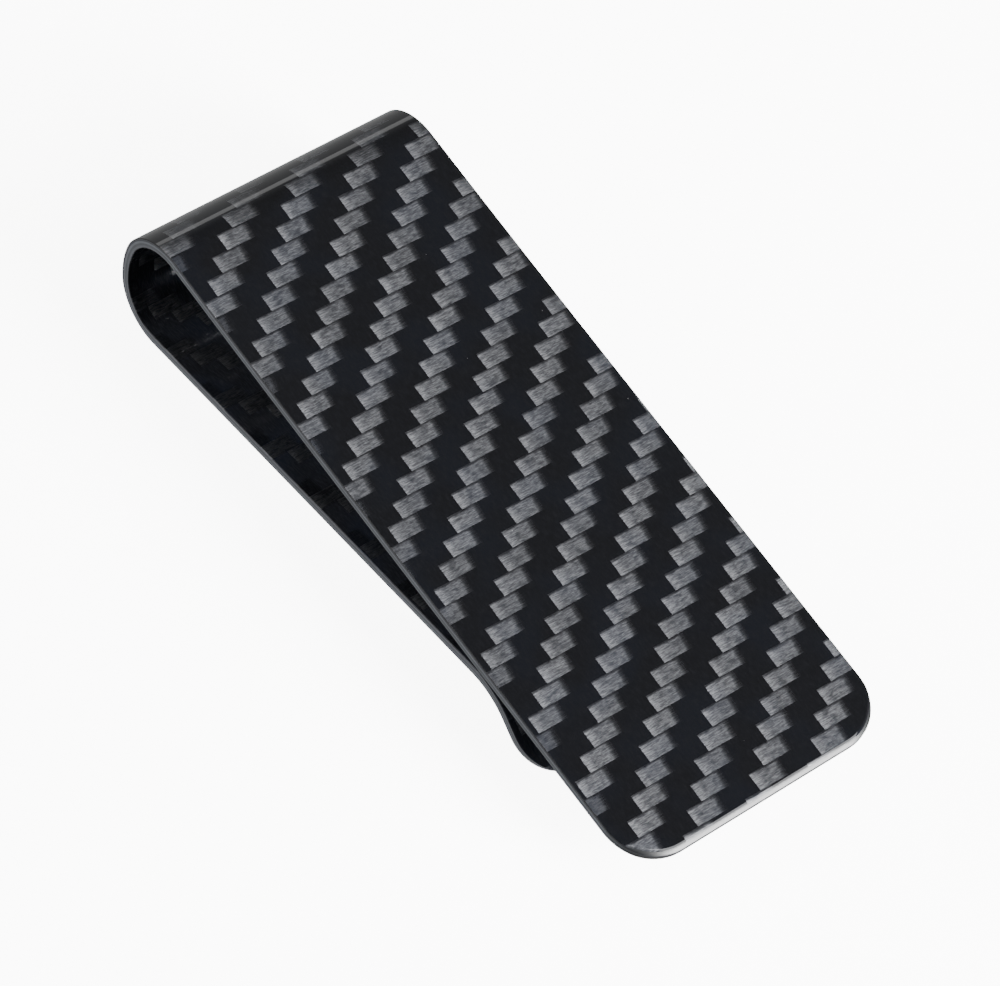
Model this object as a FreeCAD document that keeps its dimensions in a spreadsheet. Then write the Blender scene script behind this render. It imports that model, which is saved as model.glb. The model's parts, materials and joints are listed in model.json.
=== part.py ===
import FreeCAD, Part
import Sketcher
import math
import os

# Money clip: one strip of carbon-fibre laminate bent into a loop, so that its two leaves press together.
# Frame: X along the clip towards the open end, Y across the strip, Z up from the surface the clip rests on.
# Every length is in millimetres and every angle in degrees.

doc = FreeCAD.newDocument("money_clip")

# ---------------------------------------------------------------- driving dimensions

DIMENSIONS = [
    ("strip_width", 30.0),
    ("coat_thickness", 0.08),
    ("ply_thickness", 0.21),
    ("upper_leaf_length", 45.6),
    ("upper_corner_radius", 5.0),
    ("shoulder_radius", 1200.0),
    ("shoulder_angle", 1.2),
    ("crown_radius", 5.9),
    ("crown_angle", 86.0),
    ("back_radius", 10.7),
    ("back_angle", 24.0),
    ("heel_radius", 5.2),
    ("leaf_closing_angle", 13.0),
    ("lower_leaf_length", 47.35),
    ("pinch_radius", 6.8),
    ("pinch_angle", 42.5),
    ("lip_length", 7.3),
    ("lip_corner_radius", 5.4),
]

sheet = doc.addObject("Spreadsheet::Sheet", "Sheet")
for row, (alias, value) in enumerate(DIMENSIONS, start=1):
    sheet.set("A%d" % row, alias)
    sheet.set("B%d" % row, str(value))
    sheet.setAlias("B%d" % row, alias)
doc.recompute()


def size(alias):
    """A driving dimension, read back from the sheet."""
    return float(sheet.get(alias))


# The loop closes from the shoulder to the lower leaf, so its last bend takes the angle that is left.
HEEL_ANGLE = "180 + Sheet.shoulder_angle + Sheet.leaf_closing_angle - Sheet.crown_angle - Sheet.back_angle"
heel_angle = (180 + size("shoulder_angle") + size("leaf_closing_angle")
              - size("crown_angle") - size("back_angle"))

# ---------------------------------------------------------------- the layers, from the outside face inwards

COAT = "Sheet.coat_thickness"
PLY = "Sheet.ply_thickness"
LAYERS = [
    ("outer_coat", COAT),
    ("outer_ply", PLY),
    ("outer_core_ply", PLY),
    ("inner_core_ply", PLY),
    ("inner_ply", PLY),
    ("inner_coat", COAT),
]


def layer_depths(index):
    """Expressions for the depth of a layer's outer and inner faces below the outside face of the strip."""
    above = [thickness for _, thickness in LAYERS[:index]]
    return " + ".join(above) or "0", " + ".join(above + [LAYERS[index][1]])


def depth_value(expression):
    """The number that a depth expression gives."""
    names = [name.replace("Sheet.", "") for name in expression.split(" + ")]
    return sum(size(name) for name in names if name != "0")


strip_thickness = depth_value(layer_depths(len(LAYERS) - 1)[1])

# ---------------------------------------------------------------- the line of the strip, seen from the side

class Station:
    """A place on the outside face: x, z and the heading, measured from +X towards +Z.

    The strip is walked from the tip of the upper leaf round the loop, so the inside is always on the left.
    """

    def __init__(self, x, z, heading):
        self.x = x
        self.z = z
        self.heading = heading

    def straight(self, length):
        angle = math.radians(self.heading)
        return Station(self.x + length * math.cos(angle), self.z + length * math.sin(angle), self.heading)

    def bend(self, radius, turn):
        """Turn left by a positive angle, or right by a negative one, along an arc."""
        side = math.copysign(radius, turn)
        start = math.radians(self.heading)
        end = math.radians(self.heading + turn)
        x = self.x + side * (math.sin(end) - math.sin(start))
        z = self.z - side * (math.cos(end) - math.cos(start))
        return Station(x, z, self.heading + turn)


tip = Station(0.0, 0.0, 180.0)
shoulder_start = tip.straight(size("upper_leaf_length"))
crown_start = shoulder_start.bend(size("shoulder_radius"), -size("shoulder_angle"))
back_start = crown_start.bend(size("crown_radius"), size("crown_angle"))
heel_start = back_start.bend(size("back_radius"), size("back_angle"))
lower_leaf_start = heel_start.bend(size("heel_radius"), heel_angle)
pinch_start = lower_leaf_start.straight(size("lower_leaf_length"))
lip_start = pinch_start.bend(size("pinch_radius"), -size("pinch_angle"))
lip_end = lip_start.straight(size("lip_length"))

# The clip rests on the heel bend and on the edge of the lip, so the strip is turned about Y until both are level.
heel_heading = math.radians(heel_start.heading)
heel_centre = (heel_start.x - size("heel_radius") * math.sin(heel_heading),
               heel_start.z + size("heel_radius") * math.cos(heel_heading))
to_lip = (lip_end.x - heel_centre[0], lip_end.z - heel_centre[1])
rest_angle = math.degrees(math.atan2(to_lip[1], to_lip[0])
                          + math.asin(size("heel_radius") / math.hypot(*to_lip)))


def placement(station):
    """Local X along the heading, local Z towards the inside, with the clip turned level."""
    turn_level = FreeCAD.Rotation(FreeCAD.Vector(0, 1, 0), rest_angle)
    along = FreeCAD.Rotation(FreeCAD.Vector(0, -1, 0), station.heading)
    base = turn_level.multVec(FreeCAD.Vector(station.x, 0, station.z))
    return FreeCAD.Placement(base, turn_level.multiply(along))


# ---------------------------------------------------------------- sketches of one layer in one zone

START, END, CENTRE = 1, 2, 3
ORIGIN_POINT = (-1, 1)
Z_AXIS = -2


def add_sketch(body, name):
    """A sketch on the body's own XZ plane."""
    sketch = body.newObject("Sketcher::SketchObject", name)
    plane = [item for item in body.Origin.OriginFeatures if item.Role == "XZ_Plane"][0]
    sketch.AttachmentSupport = [(plane, "")]
    sketch.MapMode = "FlatFace"
    return sketch


def constrain(sketch, kind, *arguments):
    sketch.addConstraint(Sketcher.Constraint(kind, *arguments))


def dimension(sketch, name, expression, kind, *arguments):
    """A named constraint whose value comes from the sheet."""
    index = sketch.addConstraint(Sketcher.Constraint(kind, *arguments))
    sketch.renameConstraint(index, name)
    sketch.setExpression("Constraints." + name, expression)


def line(x1, z1, x2, z2):
    return Part.LineSegment(FreeCAD.Vector(x1, z1, 0), FreeCAD.Vector(x2, z2, 0))


def arc(centre_x, centre_z, radius, first, last):
    circle = Part.Circle(FreeCAD.Vector(centre_x, centre_z, 0), FreeCAD.Vector(0, 0, 1), radius)
    return Part.ArcOfCircle(circle, math.radians(first), math.radians(last))


def draw_flat(sketch, outer, inner):
    """A straight layer: a long thin rectangle."""
    near, far, length = depth_value(outer), depth_value(inner), size("upper_leaf_length")
    corners = [(0, near), (length, near), (length, far), (0, far)]
    for here, there in zip(corners, corners[1:] + corners[:1]):
        sketch.addGeometry(line(*here, *there))
    for side in range(4):
        constrain(sketch, "Coincident", side, END, (side + 1) % 4, START)
    for side in (0, 2):
        constrain(sketch, "Horizontal", side)
    for side in (1, 3):
        constrain(sketch, "Vertical", side)
    constrain(sketch, "PointOnObject", 0, START, Z_AXIS)
    dimension(sketch, "length", "Sheet.upper_leaf_length", "DistanceX", 0, START, 0, END, length)
    dimension(sketch, "inner_depth", inner, "DistanceY", *ORIGIN_POINT, 2, END, far)
    dimension(sketch, "thickness", "(%s) - (%s)" % (inner, outer), "DistanceY", 1, START, 1, END, far - near)


def draw_bend(sketch, outer, inner, radius_name, angle_expression, angle, inside_centre):
    """A bent layer: two arcs about one centre, which is inside the loop or, for the shoulder, outside it."""
    side = 1 if inside_centre else -1
    radius = size(radius_name)
    outer_radius = radius - side * depth_value(outer)
    inner_radius = radius - side * depth_value(inner)
    first, last = (-90, -90 + angle) if inside_centre else (90 - angle, 90)
    start_point, end_point = (START, END) if inside_centre else (END, START)
    centre_z = side * radius

    outer_arc = sketch.addGeometry(arc(0, centre_z, outer_radius, first, last))
    inner_arc = sketch.addGeometry(arc(0, centre_z, inner_radius, first, last))
    ends = []
    for point in (start_point, end_point):
        here = sketch.getPoint(outer_arc, point)
        there = sketch.getPoint(inner_arc, point)
        ends.append(sketch.addGeometry(line(here.x, here.y, there.x, there.y)))
    for end_line, point in zip(ends, (start_point, end_point)):
        constrain(sketch, "Coincident", end_line, START, outer_arc, point)
        constrain(sketch, "Coincident", end_line, END, inner_arc, point)
    constrain(sketch, "Coincident", outer_arc, CENTRE, inner_arc, CENTRE)
    constrain(sketch, "PointOnObject", outer_arc, CENTRE, Z_AXIS)
    constrain(sketch, "PointOnObject", outer_arc, start_point, Z_AXIS)
    constrain(sketch, "PointOnObject", inner_arc, start_point, Z_AXIS)

    sign = "-" if inside_centre else "+"
    from_centre = (outer_arc, CENTRE, *ORIGIN_POINT)
    to_centre = (*ORIGIN_POINT, outer_arc, CENTRE)
    dimension(sketch, "bend_radius", "Sheet." + radius_name, "DistanceY",
              *(to_centre if inside_centre else from_centre), radius)
    dimension(sketch, "outer_radius", "Sheet.%s %s (%s)" % (radius_name, sign, outer),
              "Radius", outer_arc, outer_radius)
    dimension(sketch, "inner_radius", "Sheet.%s %s (%s)" % (radius_name, sign, inner),
              "Radius", inner_arc, inner_radius)
    for name, which in (("outer_angle", outer_arc), ("inner_angle", inner_arc)):
        dimension(sketch, name, angle_expression, "Angle", which, math.radians(angle))


def draw_lower_leaf(sketch, outer, inner):
    """A layer of the lower leaf: straight, over the pinch bend, then straight down the lip."""
    length, radius, angle = size("lower_leaf_length"), size("pinch_radius"), size("pinch_angle")
    edges = []
    for depth in (depth_value(outer), depth_value(inner)):
        bend = arc(length, -radius, radius + depth, 90 - angle, 90)
        bend_end = bend.StartPoint
        slope = math.radians(-angle)
        lip_x = bend_end.x + size("lip_length") * math.cos(slope)
        lip_z = bend_end.y + size("lip_length") * math.sin(slope)
        leaf_line = sketch.addGeometry(line(0, depth, length, depth))
        bend_arc = sketch.addGeometry(bend)
        lip_line = sketch.addGeometry(line(bend_end.x, bend_end.y, lip_x, lip_z))
        constrain(sketch, "Tangent", leaf_line, END, bend_arc, END)
        constrain(sketch, "Tangent", bend_arc, START, lip_line, START)
        constrain(sketch, "Horizontal", leaf_line)
        edges.append((leaf_line, bend_arc, lip_line))
    (outer_leaf, outer_bend, outer_lip), (inner_leaf, inner_bend, inner_lip) = edges

    near, far = depth_value(outer), depth_value(inner)
    root_line = sketch.addGeometry(line(0, near, 0, far))
    outer_tip = sketch.getPoint(outer_lip, END)
    inner_tip = sketch.getPoint(inner_lip, END)
    edge_line = sketch.addGeometry(line(outer_tip.x, outer_tip.y, inner_tip.x, inner_tip.y))
    constrain(sketch, "Coincident", root_line, START, outer_leaf, START)
    constrain(sketch, "Coincident", root_line, END, inner_leaf, START)
    constrain(sketch, "Coincident", edge_line, START, outer_lip, END)
    constrain(sketch, "Coincident", edge_line, END, inner_lip, END)
    constrain(sketch, "Coincident", outer_bend, CENTRE, inner_bend, CENTRE)
    constrain(sketch, "PointOnObject", outer_leaf, START, Z_AXIS)
    constrain(sketch, "Vertical", root_line)
    constrain(sketch, "Perpendicular", edge_line, outer_lip)

    dimension(sketch, "leaf_length", "Sheet.lower_leaf_length", "DistanceX",
              outer_leaf, START, outer_leaf, END, length)
    dimension(sketch, "inner_depth", inner, "DistanceY", *ORIGIN_POINT, inner_leaf, START, far)
    dimension(sketch, "thickness", "(%s) - (%s)" % (inner, outer), "DistanceY",
              root_line, START, root_line, END, far - near)
    dimension(sketch, "outer_radius", "Sheet.pinch_radius + (%s)" % outer, "Radius",
              outer_bend, radius + near)
    for name, which in (("outer_angle", outer_bend), ("inner_angle", inner_bend)):
        dimension(sketch, name, "Sheet.pinch_angle", "Angle", which, math.radians(angle))
    dimension(sketch, "lip_length", "Sheet.lip_length", "Distance", outer_lip, size("lip_length"))


def draw_shoulder(sketch, outer, inner):
    draw_bend(sketch, outer, inner, "shoulder_radius", "Sheet.shoulder_angle", size("shoulder_angle"), False)


def draw_crown(sketch, outer, inner):
    draw_bend(sketch, outer, inner, "crown_radius", "Sheet.crown_angle", size("crown_angle"), True)


def draw_back(sketch, outer, inner):
    draw_bend(sketch, outer, inner, "back_radius", "Sheet.back_angle", size("back_angle"), True)


def draw_heel(sketch, outer, inner):
    draw_bend(sketch, outer, inner, "heel_radius", HEEL_ANGLE, heel_angle, True)


# ---------------------------------------------------------------- solids

# The zones along the strip: name, where it starts, its sketch, and the corner radius and place of its free end.
ZONES = [
    ("upper_leaf", tip, draw_flat, "upper_corner_radius", tip),
    ("shoulder", shoulder_start, draw_shoulder, None, None),
    ("crown", crown_start, draw_crown, None, None),
    ("back", back_start, draw_back, None, None),
    ("heel", heel_start, draw_heel, None, None),
    ("lower_leaf", lower_leaf_start, draw_lower_leaf, "lip_corner_radius", lip_end),
]


def corner_edges(shape, free_end, body_placement):
    """The two short edges through the layer's thickness at its free end, one at each side of the strip."""
    end_point = placement(free_end).Base
    reach = size("strip_width") / 2
    names = []
    for number, edge in enumerate(shape.Edges, start=1):
        points = [body_placement.multVec(vertex.Point) for vertex in edge.Vertexes]
        at_side = any(all(abs(point.y - side) < 1e-6 for point in points) for side in (-reach, reach))
        at_end = all(math.hypot(point.x - end_point.x, point.z - end_point.z) < 2 * strip_thickness
                     for point in points)
        if at_side and at_end:
            names.append("Edge%d" % number)
    return names


def build_layer(zone_name, start, draw, corner_radius, free_end, layer_index):
    """One layer of one zone: a sketch padded across the strip, with its free corners rounded."""
    layer_name = LAYERS[layer_index][0]
    node = "%s_%s" % (zone_name, layer_name)
    outer, inner = layer_depths(layer_index)
    body = doc.addObject("PartDesign::Body", node)
    body.Label = node
    sketch = add_sketch(body, node + "_profile")
    draw(sketch, outer, inner)
    pad = body.newObject("PartDesign::Pad", node + "_pad")
    pad.Profile = sketch
    pad.SideType = "Symmetric"
    pad.setExpression("Length", "Sheet.strip_width")
    body.Placement = placement(start)
    doc.recompute()
    if corner_radius:
        names = corner_edges(pad.Shape, free_end, body.Placement)
        if len(names) != 2:
            raise RuntimeError("%s has %d corner edges, not 2" % (node, len(names)))
        fillet = body.newObject("PartDesign::Fillet", node + "_corners")
        fillet.Base = (pad, names)
        fillet.setExpression("Radius", "Sheet." + corner_radius)
        doc.recompute()
    return body


bodies = []
for zone in ZONES:
    for layer_index in range(len(LAYERS)):
        bodies.append(build_layer(*zone, layer_index))

# ---------------------------------------------------------------- the origin: middle of the footprint, at the base

box = Part.makeCompound([body.Shape for body in bodies]).BoundBox
shift = FreeCAD.Vector(-(box.XMin + box.XMax) / 2, -(box.YMin + box.YMax) / 2, -box.ZMin)
for body in bodies:
    moved = body.Placement
    moved.Base = moved.Base + shift
    body.Placement = moved
doc.recompute()

# ---------------------------------------------------------------- checks and files

for item in doc.Objects:
    if "Invalid" in item.State or "Error" in item.State:
        raise RuntimeError("%s failed: %s" % (item.Name, item.State))
for body in bodies:
    if body.Shape.isNull() or not body.Shape.isValid() or len(body.Shape.Solids) != 1:
        raise RuntimeError("%s is not one valid solid" % body.Label)

os.makedirs("parts", exist_ok=True)
for body in bodies:
    body.Shape.exportStep("parts/%s.step" % body.Label)


def report_line(name, station):
    """Where a flex line or a feature of the strip ended up, for the reader."""
    base = placement(station).Base + shift
    print("%-18s x %8.3f  z %7.3f  heading %7.2f" % (name, base.x, base.z, station.heading - rest_angle))


total = Part.makeCompound([body.Shape for body in bodies])
print("box", [round(value, 3) for value in (total.BoundBox.XMin, total.BoundBox.YMin, total.BoundBox.ZMin,
                                             total.BoundBox.XMax, total.BoundBox.YMax, total.BoundBox.ZMax)])
print("volume %.1f mm3, rest angle %.3f" % (total.Volume, rest_angle))
for name, station in (("tip", tip), ("shoulder_start", shoulder_start), ("crown_start", crown_start),
                      ("back_start", back_start), ("heel_start", heel_start),
                      ("lower_leaf_start", lower_leaf_start), ("pinch_start", pinch_start),
                      ("lip_start", lip_start), ("lip_end", lip_end)):
    report_line(name, station)
pinch_top = (pinch_start.z + size("pinch_radius")
             * (1 - math.cos(math.radians(size("leaf_closing_angle")))) + strip_thickness)
print("gap at the pinch %.3f" % (-strip_thickness - pinch_top))
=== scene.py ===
import json
import math

import bmesh
import bpy
from mathutils import Euler, Matrix, Vector


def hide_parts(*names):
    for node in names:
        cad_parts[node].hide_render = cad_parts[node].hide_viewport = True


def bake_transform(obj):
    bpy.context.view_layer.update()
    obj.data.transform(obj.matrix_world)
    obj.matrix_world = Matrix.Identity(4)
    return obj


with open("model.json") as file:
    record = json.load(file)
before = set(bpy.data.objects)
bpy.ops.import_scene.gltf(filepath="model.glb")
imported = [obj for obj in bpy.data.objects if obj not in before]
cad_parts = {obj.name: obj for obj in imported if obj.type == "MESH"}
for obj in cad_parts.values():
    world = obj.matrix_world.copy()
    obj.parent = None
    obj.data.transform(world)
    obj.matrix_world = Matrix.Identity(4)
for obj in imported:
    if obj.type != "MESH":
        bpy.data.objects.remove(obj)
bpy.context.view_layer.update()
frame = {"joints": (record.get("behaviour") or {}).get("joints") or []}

MM = 0.001

# ---------------------------------------------------------------- the line of the strip
# It is walked on the outside face, from the tip of the upper leaf round the loop to the edge of the lip.
# Lengths are in millimetres, and turns are in degrees, positive towards the inside of the loop.

HALF_WIDTH = 15.0
TIP_CORNER = 5.0
LIP_CORNER = 5.4
TIP_HEADING = 173.65

# every layer: its name, and the depths of its outer and inner faces
LAYERS = [
    ("outer_coat", 0.00, 0.08),
    ("outer_ply", 0.08, 0.29),
    ("outer_core_ply", 0.29, 0.50),
    ("inner_core_ply", 0.50, 0.71),
    ("inner_ply", 0.71, 0.92),
    ("inner_coat", 0.92, 1.00),
]
THICKNESS = LAYERS[-1][2]


def straight(zone, length):
    """A flat stretch of the line: its zone, length, radius and turn."""
    return zone, length, None, 0.0


def bend(zone, radius, turn):
    """A round stretch of the line, described in the same way."""
    return zone, radius * math.radians(abs(turn)), radius, turn


UPPER_LEAF = 45.6
STRETCHES = [
    straight("upper_leaf", UPPER_LEAF),
    bend("shoulder", 1200.0, -1.2),
    bend("crown", 5.9, 86.0),
    bend("back", 10.7, 24.0),
    bend("heel", 5.2, 84.2),
    straight("lower_leaf", 47.35),
]
PINCH_AND_LIP = [
    bend("lower_leaf", 6.8, -42.5),
    straight("lower_leaf", 7.3),
]
LINE = STRETCHES + PINCH_AND_LIP
TOTAL = sum(length for _, length, _, _ in LINE)


def walk(s):
    """x, z and heading in radians at a distance along the line, counted from a tip at the origin."""
    x, z, heading = 0.0, 0.0, math.radians(TIP_HEADING)
    for index, (_, length, radius, turn) in enumerate(LINE):
        part = s if index == len(LINE) - 1 else min(s, length)
        if radius is None:
            x += part * math.cos(heading)
            z += part * math.sin(heading)
        else:
            side = math.copysign(radius, turn)
            after = heading + part / side
            x += side * (math.sin(after) - math.sin(heading))
            z -= side * (math.cos(after) - math.cos(heading))
            heading = after
        s -= part
        if s <= 1e-9:
            break
    return x, z, heading


# The line is laid on the CAD part by the flex line where the upper leaf ends.
flex_lines = {joint["name"]: Vector(joint["pos_m"]) / MM for joint in frame["joints"]}
leaf_flex = flex_lines["loop_flex_5"]
leaf_end = walk(UPPER_LEAF)
ORIGIN_X = leaf_flex.x - leaf_end[0]
ORIGIN_Z = leaf_flex.z - leaf_end[1]


def point(s, y, depth):
    """A point of the strip in metres, with the directions outward and along the strip there."""
    x, z, heading = walk(max(0.0, min(TOTAL, s)))
    if s < 0 or s > TOTAL:
        over = s if s < 0 else s - TOTAL
        x += over * math.cos(heading)
        z += over * math.sin(heading)
    inward = Vector((-math.sin(heading), 0, math.cos(heading)))
    along = Vector((math.cos(heading), 0, math.sin(heading)))
    place = (Vector((ORIGIN_X + x, y, ORIGIN_Z + z)) + inward * depth) * MM
    return place, -inward, along


# ---------------------------------------------------------------- the outline of the strip, laid flat

CORNER_STEPS = 24
FLAT_STEP = 2.0
BEND_STEP = 0.75
NEARLY_FLAT_RADIUS = 100.0
CORNER_GAP = 0.01
END_GAP = 0.02


def rows_on(length, radius, turn):
    """How many rows of points a stretch has: by its length if it is flat, and by its turn if it bends."""
    if radius is None or radius > NEARLY_FLAT_RADIUS:
        return max(1, math.ceil(length / FLAT_STEP))
    return math.ceil(abs(turn) / BEND_STEP)


def outline():
    """(s, y, normal along s, normal across) down one side of the strip, from its tip to the lip."""
    quarter = [math.radians(90.0 * k / CORNER_STEPS) for k in range(CORNER_STEPS + 1)]
    points = []
    for angle in quarter:
        points.append((TIP_CORNER - TIP_CORNER * math.cos(angle),
                       HALF_WIDTH - TIP_CORNER + TIP_CORNER * math.sin(angle),
                       -math.cos(angle), math.sin(angle)))
    start = 0.0
    for _, length, radius, turn in LINE:
        rows = rows_on(length, radius, turn)
        for k in range(rows):
            s = start + length * k / rows
            if TIP_CORNER + CORNER_GAP < s < TOTAL - LIP_CORNER - CORNER_GAP:
                points.append((s, HALF_WIDTH, 0.0, 1.0))
        start += length
    for angle in quarter:
        points.append((TOTAL - LIP_CORNER + LIP_CORNER * math.sin(angle),
                       HALF_WIDTH - LIP_CORNER + LIP_CORNER * math.cos(angle),
                       math.sin(angle), math.cos(angle)))
    return points


def side_between(first, last):
    """The outline's points between two distances along the strip, with one at each end."""
    whole = outline()
    side = [item for item in whole if first + END_GAP < item[0] < last - END_GAP]
    side.insert(0, whole[0] if first <= 0 else (first, HALF_WIDTH, 0.0, 1.0))
    side.append(whole[-1] if last >= TOTAL else (last, HALF_WIDTH, 0.0, 1.0))
    return side


# ---------------------------------------------------------------- the cut edge, seen in section
# An arris is given as (inset from the edge, drop below the face).

SIDE_ARRIS = (0.07, 0.09)
INNER_ARRIS = (0.08, 0.08)
FRONT_ROLL = (0.54, 0.31)
FRONT_REACH = 0.12
ROLL_SLOPES = (0.4, 1.6)
FRONT_BLEND = (0.15, 0.85)
NO_FRONT = 0.01
DEPTH_STEP = 0.02
ARRIS_DEPTHS = [0.001, 0.004, 0.01, 0.03]


def smooth(low, high, value):
    t = max(0.0, min(1.0, (value - low) / (high - low)))
    return t * t * (3 - 2 * t)


def rounded(depth, inset, drop):
    """Inset and normal at a depth on a quarter-round arris."""
    rest = (drop - depth) / drop
    inward = inset * (1 - math.sqrt(max(0.0, 1 - rest * rest)))
    return inward, (inset - inward) / inset ** 2, rest / drop


def rolled(depth, inset, drop):
    """The same on the upper leaf's front edge, which slopes more and more and then breaks off."""
    if depth == 0:
        return inset, 0.0, 1.0
    shallow, steep = ROLL_SLOPES
    growth = steep - shallow
    share = (math.sqrt(shallow ** 2 + 2 * growth * depth / drop) - shallow) / growth
    slope = drop / inset * (shallow + growth * share)
    return inset * (1 - share), slope, 1.0


def edge_profile(depth, toward_tip):
    """Inset of the cut edge at a depth, and its normal as (across the edge, outward from the face).

    toward_tip is 1 on the front edge and 0 on the sides, and the front edge's roll fades in between.
    """
    front = smooth(*FRONT_BLEND, toward_tip)
    inward, across, outward = 0.0, 1.0, 0.0
    if front > NO_FRONT and depth < FRONT_ROLL[1] * front:
        inward, across, outward = rolled(depth, FRONT_ROLL[0] * front, FRONT_ROLL[1] * front)
    elif front <= NO_FRONT and depth < SIDE_ARRIS[1]:
        inward, across, outward = rounded(depth, *SIDE_ARRIS)
    elif depth > THICKNESS - INNER_ARRIS[1]:
        inward, across, outward = rounded(THICKNESS - depth, *INNER_ARRIS)
        outward = -outward
    return inward - FRONT_REACH * front, across, outward


def depth_rows(top, bottom):
    """The depths where a layer has points, with more of them just below the outside face."""
    steps = max(2, math.ceil((bottom - top) / DEPTH_STEP))
    depths = [top + (bottom - top) * k / steps for k in range(steps + 1)]
    if top == 0:
        depths = sorted(set(depths + ARRIS_DEPTHS))
    return depths


# ---------------------------------------------------------------- one length of a layer, as a closed solid

def add_faces(bm, left, right, closed_ends):
    """Faces between the columns of points on the two sides, with the strip's own ends closed in steps."""
    rows, last_depth = len(left), len(left[0]) - 1
    for i in range(rows - 1):
        for k in range(last_depth):
            bm.faces.new((left[i][k], left[i + 1][k], left[i + 1][k + 1], left[i][k + 1]))
            bm.faces.new((right[i][k], right[i][k + 1], right[i + 1][k + 1], right[i + 1][k]))
        bm.faces.new((left[i][0], right[i][0], right[i + 1][0], left[i + 1][0]))
        bm.faces.new((left[i][last_depth], left[i + 1][last_depth],
                      right[i + 1][last_depth], right[i][last_depth]))
    for i, whole in zip((0, rows - 1), closed_ends):
        if whole:
            for k in range(last_depth):
                bm.faces.new((left[i][k], left[i][k + 1], right[i][k + 1], right[i][k]))
        else:
            bm.faces.new(left[i] + right[i][::-1])


def strip_piece(name, top, bottom, first, last):
    """One layer of the strip between two distances along it, with its strip coordinates."""
    side = side_between(first, last)
    depths = depth_rows(top, bottom)
    bm = bmesh.new()
    strip = bm.loops.layers.uv.new("strip")
    flat, normals, columns = {}, [], []
    for mirror in (-1, 1):
        column = []
        for s, y, ns, ny in side:
            ring = []
            for depth in depths:
                inset, across, outward = edge_profile(depth, -ns)
                here = (s - inset * ns, mirror * (y - inset * ny))
                place, up, along = point(here[0], here[1], depth)
                vert = bm.verts.new(place)
                flat[vert] = here
                edge = along * ns + Vector((0, mirror * ny, 0))
                normals.append((edge * across + up * outward).normalized())
                ring.append(vert)
            column.append(ring)
        columns.append(column)
    add_faces(bm, columns[0], columns[1], (first <= 0, last >= TOTAL))
    bmesh.ops.recalc_face_normals(bm, faces=bm.faces)
    for face in bm.faces:
        face.smooth = True
        for loop in face.loops:
            loop[strip].uv = flat[loop.vert]
    mesh = bpy.data.meshes.new(name)
    bm.to_mesh(mesh)
    bm.free()
    mesh.normals_split_custom_set_from_vertices(normals)
    made = bpy.data.objects.new(name, mesh)
    bpy.context.scene.collection.objects.link(made)
    return made


# ---------------------------------------------------------------- material nodes

class Graph:
    """A material's nodes, with short names for the ones used here."""

    def __init__(self, name):
        self.material = bpy.data.materials.new(name)
        self.material.use_nodes = True
        self.nodes = self.material.node_tree.nodes
        self.links = self.material.node_tree.links
        self.shader = self.nodes["Principled BSDF"]

    def put(self, socket, value):
        if isinstance(value, bpy.types.NodeSocket):
            self.links.new(value, socket)
        else:
            socket.default_value = value

    def fixed(self, **values):
        """Plain values on the shader's own sockets, with an underscore for each space in a name."""
        for name, value in values.items():
            self.shader.inputs[name.replace("_", " ")].default_value = value

    def math(self, operation, *values):
        node = self.nodes.new("ShaderNodeMath")
        node.operation = operation
        for socket, value in zip(node.inputs, values):
            self.put(socket, value)
        return node.outputs[0]

    def plus(self, first, second):
        return self.math("ADD", first, second)

    def minus(self, first, second):
        return self.math("SUBTRACT", first, second)

    def times(self, first, second):
        return self.math("MULTIPLY", first, second)

    def over(self, first, second):
        return self.math("DIVIDE", first, second)

    def line(self, value, slope, start):
        """The value times a slope, added to a start."""
        return self.math("MULTIPLY_ADD", value, slope, start)

    def step(self, value, low, high, start=0.0, end=1.0):
        """Smoothly from start to end as the value goes from low to high."""
        node = self.nodes.new("ShaderNodeMapRange")
        node.interpolation_type = "SMOOTHSTEP"
        names = ("Value", "From Min", "From Max", "To Min", "To Max")
        for name, item in zip(names, (value, low, high, start, end)):
            self.put(node.inputs[name], item)
        return node.outputs[0]

    def vector(self, x, y, z=0.0):
        node = self.nodes.new("ShaderNodeCombineXYZ")
        for socket, value in zip(node.inputs, (x, y, z)):
            self.put(socket, value)
        return node.outputs[0]

    def noise(self, vector, scale, detail=2.0, roughness=0.5):
        node = self.nodes.new("ShaderNodeTexNoise")
        self.put(node.inputs["Vector"], vector)
        node.inputs["Scale"].default_value = scale
        node.inputs["Detail"].default_value = detail
        node.inputs["Roughness"].default_value = roughness
        return node.outputs["Fac"]

    def chance(self, vector):
        """One random value for each place of a grid."""
        node = self.nodes.new("ShaderNodeTexWhiteNoise")
        self.put(node.inputs["Vector"], vector)
        return node.outputs["Value"]

    def mix(self, factor, first, second, blend="MIX"):
        node = self.nodes.new("ShaderNodeMix")
        node.data_type = "RGBA"
        node.blend_type = blend
        self.put(node.inputs[0], factor)
        for socket, value in ((node.inputs[6], first), (node.inputs[7], second)):
            self.put(socket, (*value, 1.0) if isinstance(value, tuple) else value)
        return node.outputs[2]

    def tinted(self, value, tint):
        """A colour: the value times each channel of a tint."""
        node = self.nodes.new("ShaderNodeCombineColor")
        for socket, share in zip(node.inputs, tint):
            self.put(socket, self.times(value, share))
        return node.outputs[0]

    def strip(self):
        """Distance along the strip and across it, in millimetres."""
        node = self.nodes.new("ShaderNodeUVMap")
        node.uv_map = "strip"
        split = self.nodes.new("ShaderNodeSeparateXYZ")
        self.links.new(node.outputs[0], split.inputs[0])
        return split.outputs[0], split.outputs[1]


# ---------------------------------------------------------------- the gloss 2 x 2 twill

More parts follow.
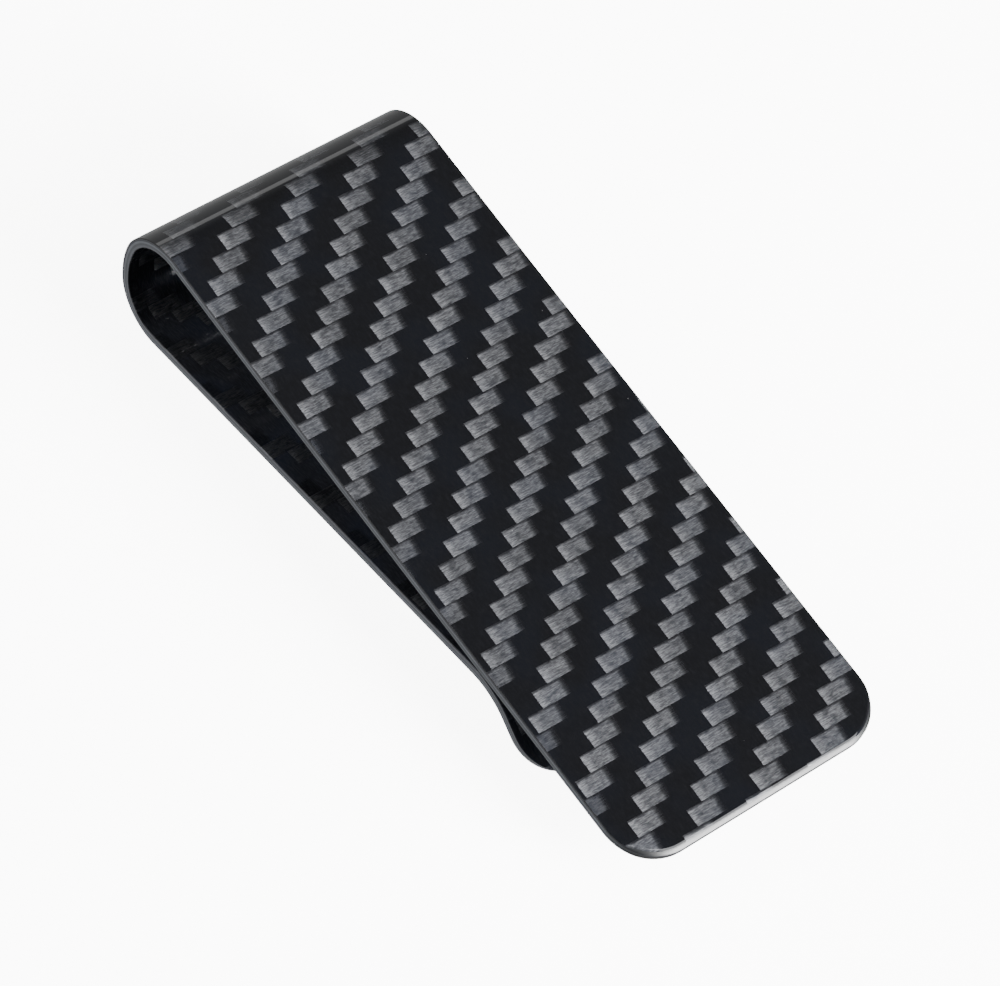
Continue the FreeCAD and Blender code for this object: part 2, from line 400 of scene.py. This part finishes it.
TOW_ALONG, TOW_ACROSS = 1.81, 1.80
CLOTH_TURN = 0.02
CLOTH_WANDER = 0.06
ROW_OFFSET = 0.30
TWILL_REPEAT = 4.0
# tint of the floats' grey, which is painted sheen: the fibres are black, and the grey stands for the light
# they reflect
SHEEN_TINT = (0.975, 0.99, 1.03)
WARP_TONES = ((0.0022, 0.0023, 0.0028), (0.0024, 0.0028, 0.0041), (0.0040, 0.0042, 0.0052))
SPECK_TONE = (0.5, 0.5, 0.5)


class Twill:
    """The cloth's grid at a point of the strip, as sockets.

    row and col count the tows along the strip and across it. Each row has one float in every four tows,
    one tow further over than in the row before. row_number and group name the nearest float. u runs along
    it, from about -1 at its start to 1 at its end, and v runs across it, from -0.5 to 0.5.
    """

    def __init__(self, g, start_s, start_y):
        self.g = g
        self.s, self.y = g.strip()
        x_flat = g.minus(start_s, self.s)
        y_flat = g.minus(self.y, start_y)
        turn_cos, turn_sin = math.cos(CLOTH_TURN), math.sin(CLOTH_TURN)
        wander = g.minus(g.noise(g.vector(self.s, self.y), 0.12, 1.0), 0.5)
        row = g.over(g.minus(g.times(x_flat, turn_cos), g.times(y_flat, turn_sin)), TOW_ALONG)
        self.row = g.line(wander, CLOTH_WANDER, row)
        self.col = g.over(g.plus(g.times(x_flat, turn_sin), g.times(y_flat, turn_cos)), TOW_ACROSS)

        placed = g.plus(self.row, ROW_OFFSET)
        self.row_number = g.math("ROUND", placed)
        self.v = g.minus(placed, self.row_number)
        shifted = g.plus(self.col, self.row_number)
        self.group = g.math("ROUND", g.over(shifted, TWILL_REPEAT))
        self.u = g.minus(shifted, g.times(self.group, TWILL_REPEAT))
        self.own = g.line(self.group, 7.31, g.times(self.row_number, 3.17))

    def grain(self, per_col, per_row, detail=2.0, roughness=0.5):
        """Noise of the fibres, different in every float, at a scale per tow each way."""
        g = self.g
        place = g.vector(g.times(self.col, per_col), g.times(self.row, per_row), self.own)
        return g.noise(place, 1.0, detail, roughness)


def float_mask(g, cloth):
    """1 on a float and 0 beside it, with a clean start, a ragged end and a back darkened as painted
    shadow.
    """
    tuft = g.minus(cloth.grain(1.2, 9.0, 2.0, 0.6), 0.5)
    luck = g.chance(g.vector(cloth.row_number, cloth.group, 5.0))
    begin = g.step(g.line(tuft, 0.06, cloth.u), -0.985, -0.93)
    close_in = g.line(cloth.v, 0.12, g.line(luck, 0.10, g.plus(cloth.u, g.times(tuft, 0.24))))
    end = g.step(close_in, 0.50, 1.02, 1.0, 0.0)
    # painted shadow along the float's back edge, where the next row lies over it
    back = g.step(g.line(tuft, 0.2, cloth.v), -0.5, -0.34, 0.42, 1.0)
    front = g.step(cloth.v, 0.46, 0.5, 1.0, 0.92)
    return g.times(g.times(begin, end), g.times(back, front))


def painted_float_sheen(g, cloth):
    """The float's painted sheen: a painted highlight at its start, painted darker patches and single
    fibres.
    """
    # painted highlight: the float's start is painted twice as bright as the rest
    lit = g.step(cloth.u, -0.98, -0.34, 2.08, 1.0)
    lit = g.times(lit, g.step(cloth.grain(2.2, 15.0, 3.0, 0.6), 0.30, 0.70, 0.44, 1.46))
    lit = g.times(lit, g.step(cloth.grain(6.0, 34.0, 1.0), 0.25, 0.75, 0.72, 1.28))
    # painted shade: darker patches in the middle of the float
    patch = g.step(cloth.grain(1.9, 3.6, 2.0, 0.55), 0.48, 0.68)
    middle = g.times(g.step(g.math("ABSOLUTE", cloth.u), 0.25, 0.85, 1.0, 0.1), patch)
    lit = g.times(lit, g.line(middle, -0.58, 1.10))
    lit = g.times(lit, g.line(g.chance(g.vector(cloth.group, cloth.row_number)), 0.28, 0.86))
    # A float whose painted bright start lies outside the strip gets less painted sheen: its edge has cut
    # that part off.
    begins_at = g.minus(cloth.y, g.times(g.plus(cloth.u, 0.95), TOW_ACROSS))
    return g.times(lit, g.step(begins_at, -HALF_WIDTH - 1.7, -HALF_WIDTH - 0.7, 0.30, 1.0))


def warp_colour(g, cloth, shade):
    """The near-black tows that run along the strip, with some bluish haze and a fine grain."""
    plain, hazy, grainy = [tuple(channel * shade for channel in tone) for tone in WARP_TONES]
    haze = g.noise(g.vector(cloth.s, cloth.y), 0.16, 1.0)
    grain = g.noise(g.vector(g.times(cloth.col, 16.0), g.times(cloth.row, 2.0)), 1.0, 2.0, 0.6)
    return g.mix(g.step(grain, 0.4, 0.75), g.mix(g.step(haze, 0.42, 0.66), plain, hazy), grainy)


def specks(g, cloth):
    """A few small pale dots in the resin, in one cell of ten."""
    cells = g.nodes.new("ShaderNodeTexVoronoi")
    g.put(cells.inputs["Vector"], g.vector(cloth.s, cloth.y))
    cells.inputs["Scale"].default_value = 0.55
    chosen = g.math("LESS_THAN", g.chance(cells.outputs["Position"]), 0.10)
    return g.times(g.step(cells.outputs["Distance"], 0.012, 0.045, 1.0, 0.0), chosen)


def woven(name, start_s, start_y, sheen_strength, shade, coat_roughness):
    """Gloss twill: floats of the tows that run across the strip, painted grey as painted sheen, over
    near-black ones along it.
    """
    g = Graph(name)
    cloth = Twill(g, start_s, start_y)
    mask = float_mask(g, cloth)
    # The floats' grey is painted sheen, added onto the near-black colour of the cloth.
    floats = g.tinted(g.times(g.times(painted_float_sheen(g, cloth), mask), sheen_strength), SHEEN_TINT)
    cloth_and_sheen = g.mix(1.0, warp_colour(g, cloth, shade), floats, "ADD")
    g.put(g.shader.inputs["Base Color"], g.mix(g.times(specks(g, cloth), 0.25), cloth_and_sheen, SPECK_TONE))
    # Light spreads across the fibres, so the two directions of tow answer to different lights.
    g.put(g.shader.inputs["Anisotropic Rotation"], g.line(mask, -0.25, 0.25))
    tangent = g.nodes.new("ShaderNodeTangent")
    tangent.direction_type = "UV_MAP"
    tangent.uv_map = "strip"
    g.links.new(tangent.outputs[0], g.shader.inputs["Tangent"])
    g.fixed(Anisotropic=0.75, Metallic=0.7, Roughness=0.5, Specular_IOR_Level=0.02)
    # Black fibre doesn't turn white at a grazing angle as a metal would.
    g.fixed(Specular_Tint=(0.22, 0.22, 0.22, 1.0))
    g.fixed(Coat_Weight=1.0, Coat_Roughness=coat_roughness, Coat_IOR=1.5)
    return g.material


# ---------------------------------------------------------------- the cut plies

def cut_edge(name, tone, grain):
    """The cut side of a ply: dull, with the fine grain of its tows, and painted nearly black near the tip
    as painted shade.
    """
    g = Graph(name)
    s, y = g.strip()
    around = g.plus(s, y)
    fine = g.noise(g.vector(around, around), 9.0, 3.0, 0.65)
    broad = g.noise(g.vector(around, 3.0), 0.55, 2.0)
    value = g.line(g.minus(fine, 0.5), grain, 1.0)
    value = g.times(value, g.line(broad, 0.5, 0.75))
    # painted shade: the cut face is darkened to nearly black towards the tip
    value = g.times(value, g.step(s, 1.5, 6.0, 0.07, 1.0))
    g.put(g.shader.inputs["Base Color"], g.tinted(value, tone))
    g.fixed(Roughness=0.38, Specular_IOR_Level=0.5)
    return g.material


MATERIALS = {
    "outer_coat": woven("outer_weave", 65.96, 9.85, sheen_strength=0.0325, shade=3.0, coat_roughness=0.025),
    # The inner weave is the same cloth with its sheen and warp tones several times higher: painted light
    # inside the loop, where little light reaches.
    "inner_coat": woven("inner_weave", 63.1, -8.9, sheen_strength=0.07, shade=14.0, coat_roughness=0.05),
    "outer_ply": cut_edge("outer_ply_cut", (0.060, 0.066, 0.078), 0.5),
    "outer_core_ply": cut_edge("outer_core_ply_cut", (0.20, 0.215, 0.24), 0.5),
    "inner_core_ply": cut_edge("inner_core_ply_cut", (0.105, 0.113, 0.128), 0.6),
    "inner_ply": cut_edge("inner_ply_cut", (0.16, 0.17, 0.19), 0.5),
}

# ---------------------------------------------------------------- the layers, each in five lengths
# A length runs from the middle of one zone to the middle of the next, so one flex line lies inside it.

BEND_SHARE = 0.75
LONGEST_REACH = 4.0

zone_starts, zone_middles = {}, {}
start = 0.0
for zone, length, _, _ in STRETCHES:
    zone_starts[zone] = start
    zone_middles[zone] = start + length / 2
    start += length

ZONES = list(zone_starts)
for before, after in zip(ZONES, ZONES[1:]):
    first = 0.0 if before == ZONES[0] else zone_middles[before]
    last = TOTAL if after == ZONES[-1] else zone_middles[after]
    flex = zone_starts[after]
    reach = BEND_SHARE * min(flex - zone_middles[before], zone_middles[after] - flex, LONGEST_REACH)
    start_point, _, _ = point(flex - reach, 0.0, THICKNESS / 2)
    end_point, _, _ = point(flex + reach, 0.0, THICKNESS / 2)
    for layer, top, bottom in LAYERS:
        piece = strip_piece("%s_to_%s_%s" % (before, after, layer), top, bottom, first, last)
        piece.data.materials.append(MATERIALS[layer])
        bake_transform(piece)
        stood_for = [before + "_" + layer]
        if after == ZONES[-1]:
            stood_for.append(after + "_" + layer)
        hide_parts(*stood_for)

# ---------------------------------------------------------------- floor and backdrop

FLOOR_REACH = 3.0
FLOOR_DROP = 0.00002
WALL_RADIUS = FLOOR_REACH * 0.97
WALL_SIDES = 72

paper = Graph("paper")
paper.fixed(Base_Color=(0.86, 0.86, 0.855, 1.0), Roughness=0.9, Specular_IOR_Level=0.1)
paper.fixed(Emission_Color=(1.0, 1.0, 0.995, 1.0), Emission_Strength=8.5)


def paper_sheet(name, points, faces):
    """A sheet of the studio's paper, glowing as an over-exposed sweep does.

    The clip doesn't mirror it: it mirrors the dimmer sky behind it.
    """
    mesh = bpy.data.meshes.new(name)
    mesh.from_pydata(points, [], faces)
    mesh.materials.append(paper.material)
    sheet = bpy.data.objects.new(name, mesh)
    bpy.context.scene.collection.objects.link(sheet)
    sheet.visible_glossy = False
    sheet.visible_diffuse = False
    return sheet


floor_corners = ((-1, -1), (1, -1), (1, 1), (-1, 1))
floor_points = [(x * FLOOR_REACH, y * FLOOR_REACH, 0) for x, y in floor_corners]
floor = paper_sheet("floor", floor_points, [(0, 1, 2, 3)])
floor.location.z = -FLOOR_DROP

wall_angles = [math.radians(360 / WALL_SIDES * k) for k in range(WALL_SIDES)]
wall_points = [(math.cos(angle) * WALL_RADIUS, math.sin(angle) * WALL_RADIUS, z)
               for z in (0.0, FLOOR_REACH) for angle in wall_angles]
wall_faces = [(k, (k + 1) % WALL_SIDES, WALL_SIDES + (k + 1) % WALL_SIDES, WALL_SIDES + k)
              for k in range(WALL_SIDES)]
wall = paper_sheet("backdrop", wall_points, wall_faces)
wall.visible_shadow = False


# ---------------------------------------------------------------- lights

def softbox(name, direction, long_way, distance, length, width, radiance):
    """An area light of a given brightness that faces the clip, with its length along long_way."""
    data = bpy.data.lights.new(name, "AREA")
    data.shape = "RECTANGLE"
    data.size = length
    data.size_y = width
    data.energy = radiance * math.pi * length * width
    light = bpy.data.objects.new(name, data)
    back = Vector(direction).normalized()
    side = Vector(long_way)
    side = (side - back * side.dot(back)).normalized()
    light.rotation_euler = Matrix((side, back.cross(side), back)).transposed().to_euler()
    light.location = back * distance
    bpy.context.scene.collection.objects.link(light)


FRONT_WAY = (0.79, 0.0, -0.61)
FRONT_WIDTH = 0.48
softbox("front_box_high", (0.45, 0.385, 0.81), FRONT_WAY, 0.9, 0.50, FRONT_WIDTH, 7.0)
softbox("front_box_mid", (0.72, 0.39, 0.60), FRONT_WAY, 0.9, 0.20, FRONT_WIDTH, 14.0)
softbox("front_box_low", (0.96, 0.39, 0.38), FRONT_WAY, 0.9, 0.46, FRONT_WIDTH, 70.0)
softbox("left_box", (-0.45, -0.75, 0.55), (0.86, -0.5, 0.0), 1.0, 0.7, 0.6, 3.0)
softbox("back_strip", (-0.86, 0.47, 0.33), (0.48, 0.88, 0.0), 0.9, 0.40, 0.13, 1.3)

# ---------------------------------------------------------------- sky
# It is darker overhead, and darker on the side that the tip and the -Y edge of the strip face.

world = bpy.data.worlds.new("studio")
bpy.context.scene.world = world
world.use_nodes = True
sky = world.node_tree


def sky_ramp(value, low, high, start, end):
    """Smoothly from start to end as the value goes from low to high."""
    ramp = sky.nodes.new("ShaderNodeMapRange")
    ramp.interpolation_type = "SMOOTHSTEP"
    names = ("From Min", "From Max", "To Min", "To Max")
    for name, item in zip(names, (low, high, start, end)):
        ramp.inputs[name].default_value = item
    sky.links.new(value, ramp.inputs["Value"])
    return ramp.outputs[0]


coordinate = sky.nodes.new("ShaderNodeTexCoord")
split = sky.nodes.new("ShaderNodeSeparateXYZ")
sky.links.new(coordinate.outputs["Generated"], split.inputs[0])
toward = sky.nodes.new("ShaderNodeVectorMath")
toward.operation = "DOT_PRODUCT"
toward.inputs[1].default_value = (0.72, -0.69, 0.0)
sky.links.new(coordinate.outputs["Generated"], toward.inputs[0])
dimmed = sky.nodes.new("ShaderNodeMath")
dimmed.operation = "MULTIPLY"
sky.links.new(sky_ramp(split.outputs[2], 0.30, 0.60, 0.52, 0.18), dimmed.inputs[0])
sky.links.new(sky_ramp(toward.outputs["Value"], 0.25, 0.75, 1.0, 0.3), dimmed.inputs[1])
sky.links.new(dimmed.outputs[0], sky.nodes["Background"].inputs["Strength"])
sky.nodes["Background"].inputs["Color"].default_value = (0.98, 0.99, 1.0, 1.0)

# ---------------------------------------------------------------- camera

camera_data = bpy.data.cameras.new("camera")
camera_data.lens = 179.885
camera_data.sensor_width = 36.0
camera_data.clip_start = 0.01
camera_data.clip_end = 10.0
camera = bpy.data.objects.new("camera", camera_data)
camera.location = (0.166712, -0.214219, 0.371466)
camera.rotation_euler = Euler((0.616056, -0.172852, 0.899603), "XYZ")
bpy.context.scene.collection.objects.link(camera)
bpy.context.scene.camera = camera

bpy.context.view_layer.update()
